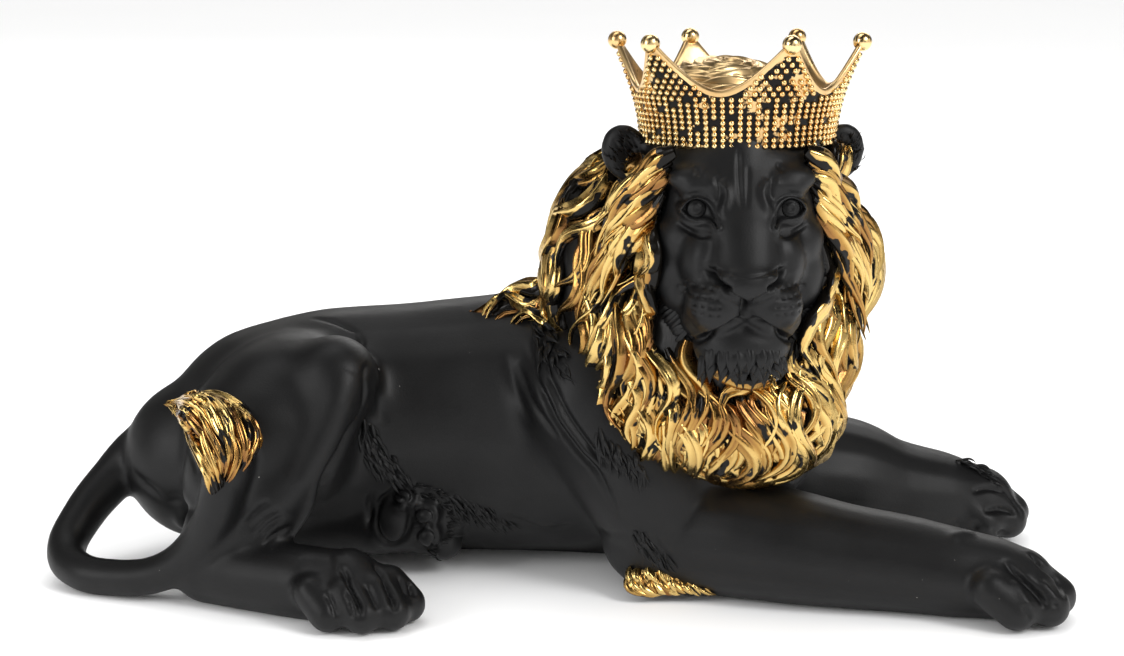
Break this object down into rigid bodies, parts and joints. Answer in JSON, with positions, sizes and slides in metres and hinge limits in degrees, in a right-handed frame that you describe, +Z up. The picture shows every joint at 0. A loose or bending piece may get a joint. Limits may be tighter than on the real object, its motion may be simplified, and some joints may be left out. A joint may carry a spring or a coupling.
{
  "type": "lion statue",
  "caption": "Reclining lion figure wearing an open pointed crown, with crossed-over tail and long mane; a decorative one-piece casting that rests on its flat underside.",
  "frame": {"origin": "middle of the footprint, on the flat underside", "axes": "+X along the body towards the forepaws, +Z up, the face looks towards -Y"},
  "size_m": [0.4057, 0.1564, 0.2224],
  "materials": {
    "black_resin": "satin black paint on cast resin, with soft highlights",
    "gold_plating": "bright gold plating on the mane, tail tuft, elbow tuft and crown, darkened in the recesses"
  },
  "bodies": {
    "root": {"lion_statue": "black_resin"}
  },
  "joints": []
}
